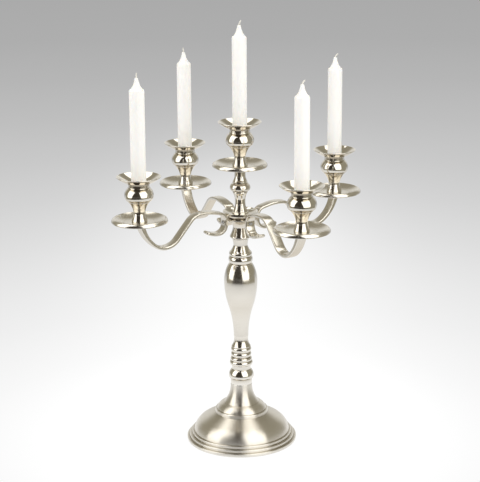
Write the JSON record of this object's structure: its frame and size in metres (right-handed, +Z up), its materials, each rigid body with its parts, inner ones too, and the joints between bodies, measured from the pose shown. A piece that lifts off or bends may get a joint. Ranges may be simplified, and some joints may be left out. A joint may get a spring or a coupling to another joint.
{
  "type": "tabletop candelabra",
  "caption": "Tabletop candelabra: bell base, turned baluster column, scrolled strap arms round a raised centre stem, each light with a drip pan, a cup and a household candle.",
  "frame": {"origin": "centre of the felt's underside, on the column's axis", "axes": "+Z up along the column, +X from the column towards arm_1 and its candle"},
  "size_m": [0.419, 0.419, 0.6462],
  "materials": {
    "base_plating": "spun and brushed nickel plate",
    "column_plating": "satin to polished nickel plate",
    "hub_plating": "polished nickel plate",
    "arm_plating": "satin nickel plate",
    "pan_plating": "satin nickel plate",
    "cup_plating": "polished nickel plate",
    "fastener_steel": "zinc-plated steel",
    "spacer_brass": "plain brass",
    "felt": "dark green pressed felt",
    "wax": "white candle wax",
    "wick_cotton": "white waxed cotton"
  },
  "bodies": {
    "column": {"base_bell": "base_plating", "base_felt": "felt", "base_plate": "fastener_steel", "base_washer": "fastener_steel", "base_nut": "fastener_steel", "tie_rod": "fastener_steel", "base_knop": "column_plating", "ring_stack": "column_plating", "baluster": "column_plating", "neck_ring": "column_plating", "neck_spool": "column_plating", "thrust_washer": "spacer_brass"},
    "branch_unit": {"hub_collar": "hub_plating", "hub_flange": "hub_plating", "hub_dish": "hub_plating", "centre_stem": "hub_plating", "stem_rod": "fastener_steel", "arm_screws": "fastener_steel", "cup_studs": "fastener_steel", "arm_1": "arm_plating", "arm_2": "arm_plating", "arm_3": "arm_plating", "arm_4": "arm_plating", "drip_pan_1": "pan_plating", "drip_pan_2": "pan_plating", "drip_pan_3": "pan_plating", "drip_pan_4": "pan_plating", "drip_pan_5": "pan_plating", "candle_cup_1": "cup_plating", "candle_cup_2": "cup_plating", "candle_cup_3": "cup_plating", "candle_cup_4": "cup_plating", "candle_cup_5": "cup_plating"},
    "candle_body_1": {"candle_1": "wax", "wick_1": "wick_cotton"},
    "candle_body_2": {"candle_2": "wax", "wick_2": "wick_cotton"},
    "candle_body_3": {"candle_3": "wax", "wick_3": "wick_cotton"},
    "candle_body_4": {"candle_4": "wax", "wick_4": "wick_cotton"},
    "candle_body_5": {"candle_5": "wax", "wick_5": "wick_cotton"}
  },
  "joints": [
    {"name": "branch_swivel", "type": "hinge", "parent": "column", "child": "branch_unit", "pos_m": [0, 0, 0.3202], "axis": [0, 0, 1], "continuous": true},
    {"name": "candle_1_lift", "type": "slide", "parent": "branch_unit", "child": "candle_body_1", "axis": [0, 0, 1], "range_m": [0, 0.06]},
    {"name": "candle_2_lift", "type": "slide", "parent": "branch_unit", "child": "candle_body_2", "axis": [0, 0, 1], "range_m": [0, 0.06]},
    {"name": "candle_3_lift", "type": "slide", "parent": "branch_unit", "child": "candle_body_3", "axis": [0, 0, 1], "range_m": [0, 0.06]},
    {"name": "candle_4_lift", "type": "slide", "parent": "branch_unit", "child": "candle_body_4", "axis": [0, 0, 1], "range_m": [0, 0.06]},
    {"name": "candle_5_lift", "type": "slide", "parent": "branch_unit", "child": "candle_body_5", "axis": [0, 0, 1], "range_m": [0, 0.06]}
  ]
}
